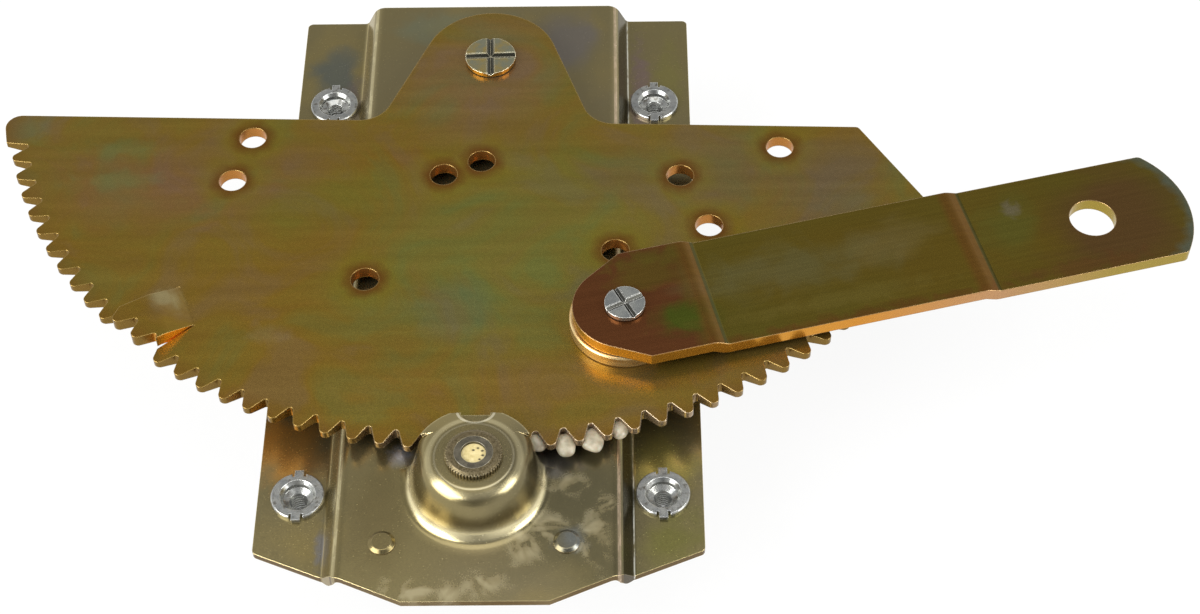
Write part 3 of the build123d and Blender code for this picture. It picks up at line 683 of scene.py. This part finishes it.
# The holes' middles, counted from the pivot before the sector's turn at rest.
sector_hole_places = [
    (-68.75, -33.8), (-72.65, -50.8), (-30.55, -87.3), (-11.05, -47.3), (-0.25, -41.8),
    (58.05, -46.3), (87.35, -34.6), (66.55, -65.4), (39.85, -75.3),
]
halo_inner = 6.0
halo_outer = 9.5
halo_strength = 0.8
pool_outer = 14.0
pool_strength = 0.35
halo_wander = 3.5
# Where orange reflected light is painted on the sides of the slot under the bent tab: its middle, and its
# half width and half height.
slot_light_place = (-86, -27)
slot_light_reach = (9, 6)
sector_clouds = [
    ((8, 2), (60, 46), "#787a38", 0.75), ((-54, 22), (32, 16), "#777628", 0.60),
    ((20, 33), (30, 14), "#767830", 0.60), ((-8, -19), (22, 12), "#6a7452", 0.60),
    ((-76, 4), (34, 9), "#867020", 0.50), ((-96, 30), (46, 22), "#846440", 0.85),
    ((66, 30), (48, 20), "#746846", 0.85), ((-4, 68), (28, 32), "#846c50", 0.70),
    ((-139, 51), (9, 8), "#68765a", 0.60), ((-108, 43), (13, 5), "#6d8150", 0.40),
    # The pale cloud at (-89, -16) is a painted highlight on the bent tab.
    ((-108, 31), (13, 5), "#6d8150", 0.40), ((-89, -16), (6, 6), "#b2ac7c", 0.60),
    ((102, 21), (12, 8), "#6c7a5c", 0.50), ((-60, -27), (8, 5), "#94825c", 0.40),
    ((10, -46), (70, 9), "#8f7030", 0.50), ((-28, 38), (18, 6), "#86621c", 0.50),
    ((34, -14), (13, 9), "#66704a", 0.45), ((98, 6), (34, 30), "#746648", 0.70),
]
sector_stains = [(0.36, "#66743f"), (0.46, "#7d6c2e"), (0.54, "#84642c"), (0.66, "#7e6250")]
stain_size = 30.0
stain_strength = 0.30
worn_teeth_place = (26, -58)
worn_teeth_reach = (75, 16)
tooth_rim_inner = 139.0
tooth_rim_outer = 146.0
tooth_rim_strength = 0.6


def shaded(tree, colour, pattern, strength):
    """A colour made softly lighter and darker by a pattern."""
    made = add(tree, "MixRGB", {"Fac": strength, "Color1": colour, "Color2": pattern},
               blend_type="SOFT_LIGHT")
    return made.outputs[0]


def hole_halos(tree, place, inner, outer):
    """A ragged mask round each hole of the sector, full inside one radius and gone
    beyond another."""
    turn = Matrix.Rotation(math.radians(sector_rest_turn), 2)
    flat = vector(tree, "MULTIPLY", place, (1, 1, 0))
    nearest = 1.0
    for hole in sector_hole_places:
        middle = Vector(sector_pivot) + turn @ Vector(hole)
        away = vector(tree, "DISTANCE", flat, mm((*middle, 0)))
        nearest = number(tree, "MINIMUM", nearest, away)
    ragged = number(tree, "MULTIPLY_ADD", noise(tree, place, 5), mm(halo_wander), nearest)
    return graded(tree, ragged, mm(inner), mm(outer), 1.0, 0.0)


def full_yellow_zinc():
    """Full yellow passivated zinc on thick plate: brown olive with green, teal and rosy
    clouds, a painted highlight on the bent tab, brown halos round the holes, a darker toothed
    rim, gold sheared edges that are worn to pale steel where the pinion runs, orange painted
    reflected light in the slot under the tab, and a painted highlight along the corners."""
    made = blank_material("full_yellow_passivated_zinc")
    tree = made.node_tree
    place, sideways, edge, rounded = surface_masks(tree, 0.4)
    broad = patches(tree, place, 75, 0.38, 0.62, detail=2.0)
    colour = laid(tree, linear("#866a22"), broad, "#806b2a")
    colour = tinted(tree, colour, place, sector_clouds)
    pooled = noise(tree, place, stain_size, detail=6.0, distortion=1.6)
    stain = add(tree, "ValToRGB", {"Fac": pooled}, sector_stains)
    colour = laid(tree, colour, stain_strength, stain.outputs["Color"])
    colour = shaded(tree, colour, patches(tree, place, 4, 0.2, 0.8, stretch=(0.08, 1, 1), seed=0.15), 0.14)
    colour = shaded(tree, colour, patches(tree, place, 1.2, 0.2, 0.8, seed=0.9), 0.07)
    away = from_axis(tree, place, sector_pivot)
    rim = graded(tree, away, mm(tooth_rim_inner), mm(tooth_rim_outer))
    colour = laid(tree, colour, rim, "#7c5523", tooth_rim_strength)
    pool = hole_halos(tree, place, halo_outer, pool_outer)
    colour = laid(tree, colour, pool, "#84741a", pool_strength)
    bores = hole_halos(tree, place, halo_inner, halo_outer)
    colour = laid(tree, colour, bores, "#6b3f16", halo_strength)
    worn = cloud(tree, place, worn_teeth_place, worn_teeth_reach)
    side = laid(tree, linear("#7d6128"), worn, "#a08b72")
    side = laid(tree, side, bores, "#b57a38")
    # Orange painted reflected light on the sides of the slot under the tab.
    side = laid(tree, side, cloud(tree, place, slot_light_place, slot_light_reach, ragged=0.2), "#f2a02c")
    colour = laid(tree, colour, sideways, side)
    # A painted highlight along the corners, paler where the teeth are worn.
    colour = laid(tree, colour, edge, laid(tree, linear("#b89d60"), worn, "#dccbb0"), 0.8)
    plated_steel(tree, colour, place, rounded, roughness=0.26, grain=0.015, metallic=0.80)
    return made


finish(full_yellow_zinc(), "sector_gear")


# Grease
# Thick beige bearing grease, squeezed out of the mesh into the sector's tooth gaps to the
# right of the pinion, where it hangs in round lumps.

gap_pitch = 360 / 118
# The angle of the row's first tooth from straight below the pivot, before the turn at rest.
first_tooth = -72.67
lump_level = 12.9
# The tooth gap that each lump lies in, its distance from the pivot, and its half sizes.
lump_places = [
    (26.5, 142.2, (2.8, 3.0, 1.6)), (27.5, 144.2, (3.0, 4.0, 1.5)), (28.45, 144.2, (3.1, 3.8, 1.5)),
    (29.5, 142.4, (2.8, 3.0, 1.4)),
]
lump_dent = 0.10


def beige_grease():
    """Bearing grease: pale beige, soft and waxy, with a wet gloss and darker dirt in it."""
    made = blank_material("beige_bearing_grease")
    tree = made.node_tree
    place = add(tree, "TexCoord").outputs["Object"]
    colour = laid(tree, linear("#8f8670"), patches(tree, place, 2.2, 0.35, 0.7), "#b3aa94")
    bump = add(tree, "Bump", {"Height": noise(tree, place, 1.5), "Strength": 0.25, "Distance": mm(0.3)})
    shader = add(tree, "BsdfPrincipled", {
        "Base Color": colour, "Roughness": 0.32, "Subsurface Weight": 0.15,
        "Subsurface Scale": mm(1.0), "Normal": bump.outputs["Normal"]})
    add(tree, "OutputMaterial", {"Surface": shader.outputs[0]})
    return made


def grease_lump(name, gap, radius, size):
    """One lump: a round blob pressed out of shape, lying in a gap between two teeth."""
    blob = bmesh.new()
    bmesh.ops.create_icosphere(blob, subdivisions=4, radius=1.0)
    for vertex in blob.verts:
        wave = math.sin(3.1 * vertex.co.x + 2 * gap) * math.cos(2.7 * vertex.co.y - gap)
        dent = 1 + lump_dent * wave
        vertex.co = Vector([part * dent * mm(reach) for part, reach in zip(vertex.co, size)])
    angle = math.radians(first_tooth + sector_rest_turn + gap * gap_pitch)
    out = Vector((math.sin(angle), -math.cos(angle), 0))
    place = Vector((*mm(sector_pivot), mm(lump_level))) + out * mm(radius)
    move = Matrix.Translation(place) @ Matrix.Rotation(angle, 4, "Z")
    bmesh.ops.transform(blob, matrix=move, verts=blob.verts)
    for face in blob.faces:
        face.smooth = True
    return placed(name, blob)


grease = beige_grease()
for count, (tooth_gap, lump_radius, lump_size) in enumerate(lump_places, 1):
    lump = grease_lump(f"grease_lump_{count}", tooth_gap, lump_radius, lump_size)
    lump.data.materials.append(grease)
    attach(lump, "sector")


# Arm spacer and arm stud
# A turned steel disc, pale gold, between sector and arm, and the stud that holds both,
# bright zinc plated with a struck cross on its head.

arm_stud_place = (39.32, -24.27)
arm_stud_profile = [
    (5.2, 10.4), (6.0, 11.2), (6.0, 11.8), (4.0, 11.8), (4.0, 23.7), (5.6, 23.7), (5.6, 25.1),
]
arm_cross_turn = 28.0
arm_groove_half = 0.85
arm_groove_depth = 0.7


def pale_gold_zinc():
    """Pale gold zinc on a turned disc: nearly cream, with fine lines round the rim."""
    made = blank_material("pale_gold_turned_zinc")
    tree = made.node_tree
    place, sideways, edge, rounded = surface_masks(tree, 0.3)
    round_rim = add(tree, "Mapping", {"Vector": place, "Scale": (0.1, 0.1, 3.0)}).outputs[0]
    fine = noise(tree, round_rim, 0.8)
    lines = add(tree, "ValToRGB", {"Fac": fine}, [(0.35, "#c9a060"), (0.65, "#ecd19a")])
    # A painted highlight along the disc's corners.
    colour = laid(tree, lines.outputs["Color"], edge, "#fbf0cf")
    plated_steel(tree, colour, place, rounded, roughness=0.28, grain=0.10, grain_size=0.4)
    return made


finish(pale_gold_zinc(), "arm_spacer")
# The last two colours are the painted shade in the grooves and the painted highlight on their lips.
stud_zinc = struck_head("bright_zinc_struck_stud", "#8f9291", "#a5a7a2", "#b9b4a0", "#3d3d38", "#f7f6ee")
arm_pivot_stud = struck_stud(
    "struck_arm_stud", arm_stud_place, arm_cross_turn, arm_stud_profile, arm_groove_half,
    arm_groove_depth)
arm_pivot_stud.data.materials.append(stud_zinc)
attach(arm_pivot_stud, "sector")
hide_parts("arm_stud")


# Lift arm
# A 3.7 mm steel bar, blanked with a narrow nose and a round end and set down by two
# joggles; zinc plated and passivated a deeper yellow than the sector.

arm_angle = 13.96
first_joggle = (19.0, 23.6)
second_joggle = (97.0, 102.6)
joggle_line = 0.5
arm_end_place = 137.35
arm_end_radius = 28.4
# Places on the arm are counted along it from the stud, and across it from its middle.
arm_clouds = [
    ((8, 9), (14, 7), "#66541f", 0.80), ((14, -7), (10, 8), "#4c5a1a", 0.90),
    ((12, 15), (16, 4), "#665a20", 0.70), ((50, 3), (34, 10), "#726e48", 0.50),
    ((80, 6), (16, 9), "#7c6d40", 0.45), ((58, -11), (44, 4), "#77692e", 0.50),
    ((113, 2), (12, 16), "#656428", 0.70), ((142, -2), (24, 22), "#64472a", 0.80),
    ((60, -19), (60, 4), "#6b431e", 0.70), ((128, -16), (26, 4), "#6c4726", 0.60),
    ((116, 9), (3, 4), "#8a8078", 0.35),
]
# The sheared edge's colour from the stud to the far hole.
arm_edge_colours = [(0.0, "#cf9a3a"), (0.45, "#cd8a2e"), (0.75, "#b98d62"), (1.0, "#a08a3c")]


def joggle_bands(tree, along, colour):
    """The brown slope of each joggle and the dark line at its lower fold."""
    for start, fold in (first_joggle, second_joggle):
        slope = graded(tree, along, mm(start - 1), mm(start + 1))
        before = graded(tree, along, mm(fold + 0.4), mm(fold - 0.4))
        colour = laid(tree, colour, number(tree, "MULTIPLY", slope, before), "#74441f", 0.5)
        line = number(tree, "COMPARE", along, mm(fold + joggle_line / 2), mm(joggle_line))
        colour = laid(tree, colour, line, "#363f24", 0.55)
    return colour


def deep_yellow_zinc():
    """Deep yellow passivated zinc: dark brown olive, reddish at the nose and by the
    joggles, bluish at the far rim, with long faint drawing lines; the sheared edges run
    from bright orange at the nose to tan at the far end."""
    made = blank_material("deep_yellow_passivated_zinc")
    tree = made.node_tree
    place, sideways, edge, rounded = surface_masks(tree, 0.4)
    centred = vector(tree, "SUBTRACT", place, mm((*arm_stud_place, 0)))
    on_arm = add(tree, "VectorRotate", {"Vector": centred, "Angle": math.radians(-arm_angle)},
                 rotation_type="Z_AXIS").outputs[0]
    along = add(tree, "SeparateXYZ", {"Vector": on_arm}).outputs["X"]
    broad = patches(tree, place, 55, 0.38, 0.62, detail=2.0, seed=0.12)
    colour = laid(tree, linear("#6c591d"), broad, "#64591f")
    nose = graded(tree, along, mm(first_joggle[0] + 2), mm(first_joggle[0] - 4))
    colour = laid(tree, colour, nose, "#673a22", 0.9)
    colour = tinted(tree, colour, on_arm, arm_clouds)
    colour = joggle_bands(tree, along, colour)
    from_end = from_axis(tree, on_arm, (arm_end_place, 0))
    ragged = number(tree, "MULTIPLY_ADD", noise(tree, place, 6, detail=3.0), mm(7), from_end)
    rim = graded(tree, ragged, mm(arm_end_radius - 0.5), mm(arm_end_radius + 2.5))
    beyond = graded(tree, along, mm(arm_end_place), mm(arm_end_place + 6))
    colour = laid(tree, colour, number(tree, "MULTIPLY", rim, beyond), "#626d60", 0.7)
    stretched = add(tree, "Mapping", {"Vector": on_arm, "Scale": (0.04, 1, 1)}).outputs[0]
    colour = shaded(tree, colour, noise(tree, stretched, 1.2, detail=3.0), 0.22)
    side = add(tree, "ValToRGB", {"Fac": graded(tree, along, 0.0, mm(arm_end_place))}, arm_edge_colours)
    colour = laid(tree, colour, sideways, side.outputs["Color"])
    # A painted highlight along the arm's corners.
    colour = laid(tree, colour, edge, "#c9a878", 0.75)
    plated_steel(tree, colour, place, rounded, roughness=0.25, grain=0.025)
    return made


finish(deep_yellow_zinc(), "lift_arm")


# Dome bush, pinion and spindle
# The pinion's journal runs in a knurled bush of sintered bronze; the pinion and the
# splined crank spindle are hardened steel, oiled.

spindle_end_level = 22.6
stake_reach = (0.55, 0.45)
# The distance from the spindle's axis and the direction of each staking mark.
stake_marks = [(2.1, 58), (2.5, 22), (2.5, -12), (2.4, -48), (1.2, 95)]
oiled_metal = 0.9


def sintered_bronze():
    """Oily sintered bronze: dull grey brown, with a painted highlight on the knurl's crests."""
    made = blank_material("oiled_sintered_bronze")
    tree = made.node_tree
    place, sideways, edge, rounded = surface_masks(tree, 0.12)
    colour = laid(tree, linear("#5f543c"), patches(tree, place, 0.5, 0.4, 0.6), "#7d7156")
    # A painted highlight on the knurl's crests and other corners.
    colour = laid(tree, colour, edge, "#d8cca4")
    plated_steel(tree, colour, place, rounded, roughness=0.30, grain=0.20, grain_size=0.2)
    return made


def oiled_steel(name, dark, light):
    """Hardened steel under a film of oil: dark grey with a faint straw tint."""
    made = blank_material(name)
    tree = made.node_tree
    place, sideways, edge, rounded = surface_masks(tree, 0.2)
    colour = laid(tree, linear(dark), patches(tree, place, 3, 0.4, 0.6), light)
    # A painted highlight along the corners.
    colour = laid(tree, colour, edge, "#a9a493")
    plated_steel(tree, colour, place, rounded, roughness=0.30, grain=0.12, grain_size=0.3)
    return made


def pale_spindle_end():
    """Oiled hardened steel whose front end is covered in dried cream grease, with the dark
    marks of the staking tool round one side."""
    made = oiled_steel("oiled_steel_with_cream_end", "#5b564a", "#736d5e")
    tree = made.node_tree
    shader = next(node for node in tree.nodes if node.type == "BSDF_PRINCIPLED")
    under = shader.inputs["Base Color"].links[0].from_socket
    place = add(tree, "TexCoord").outputs["Object"]
    height = add(tree, "SeparateXYZ", {"Vector": place}).outputs["Z"]
    front = number(tree, "GREATER_THAN", height, mm(spindle_end_level))
    cream = laid(tree, linear("#b3a26c"), patches(tree, place, 1.2, 0.3, 0.7), "#cfc090")
    for away, angle in stake_marks:
        a = math.radians(angle)
        spot = (dome_place[0] + away * math.cos(a), dome_place[1] + away * math.sin(a))
        cream = laid(tree, cream, cloud(tree, place, spot, stake_reach, ragged=0.3), "#3a3426")
    tree.links.new(laid(tree, under, front, cream), shader.inputs["Base Color"])
    tree.links.new(graded(tree, front, 0.0, 1.0, oiled_metal, 0.0), shader.inputs["Metallic"])
    return made


finish(sintered_bronze(), "dome_bush", "rear_bush")
finish(oiled_steel("oiled_hardened_steel", "#5b564a", "#736d5e"),
       "pinion_gear", "pinion_driver", "spindle_driver")
finish(pale_spindle_end(), "crank_spindle")
finish(oiled_steel("oiled_spring_steel", "#46464a", "#5c5c60"), "brake_spring")


# Brake drum and its rivets
# The pressed cup that the brake spring grips, held by three flat-headed rivets; both
# are plated like the base plate.

finish(thin_yellow_zinc("thin_yellow_zinc_on_drum"),
       "brake_drum", "drum_rivet_top", "drum_rivet_left", "drum_rivet_right")
